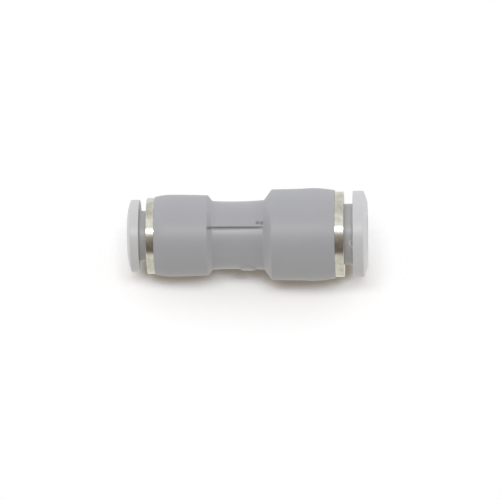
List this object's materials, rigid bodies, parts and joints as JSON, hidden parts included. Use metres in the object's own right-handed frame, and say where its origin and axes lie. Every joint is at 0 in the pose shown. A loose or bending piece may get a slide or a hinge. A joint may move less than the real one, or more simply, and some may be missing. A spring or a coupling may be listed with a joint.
{
  "type": "push-in reducing union",
  "caption": "Straight push-in coupling for plastic tube, with a larger and a smaller socket, metal guide rings and sliding release sleeves.",
  "frame": {"origin": "centre of the lip at the larger end, on which the coupling stands", "axes": "+Z along the tube axis from the larger end to the smaller end; -Y faces the camera of the picture"},
  "size_m": [0.0144, 0.0144, 0.0375],
  "materials": {
    "grey_moulding": "satin",
    "pale_acetal": "satin",
    "nickel_plate": "polished",
    "stainless_sheet": "satin",
    "white_acetal": "satin",
    "nitrile_rubber": "matte"
  },
  "bodies": {
    "housing": {"body": "grey_moulding", "big_guide_ring": "nickel_plate", "small_guide_ring": "nickel_plate", "big_lock_claw": "stainless_sheet", "small_lock_claw": "stainless_sheet", "big_back_ring": "white_acetal", "small_back_ring": "white_acetal", "big_seal": "nitrile_rubber", "small_seal": "nitrile_rubber"},
    "big_sleeve": {"big_release_sleeve": "pale_acetal"},
    "small_sleeve": {"small_release_sleeve": "pale_acetal"}
  },
  "joints": [
    {"name": "big_sleeve_press", "type": "slide", "parent": "housing", "child": "big_sleeve", "axis": [0, 0, 1], "range_m": [0, 0.00126], "stiffness_N_per_m": 3000, "springref_m": -0.0005, "deforming": ["big_lock_claw"]},
    {"name": "small_sleeve_press", "type": "slide", "parent": "housing", "child": "small_sleeve", "axis": [0, 0, -1], "range_m": [0, 0.00102], "stiffness_N_per_m": 3000, "springref_m": -0.0005, "deforming": ["small_lock_claw"]}
  ]
}
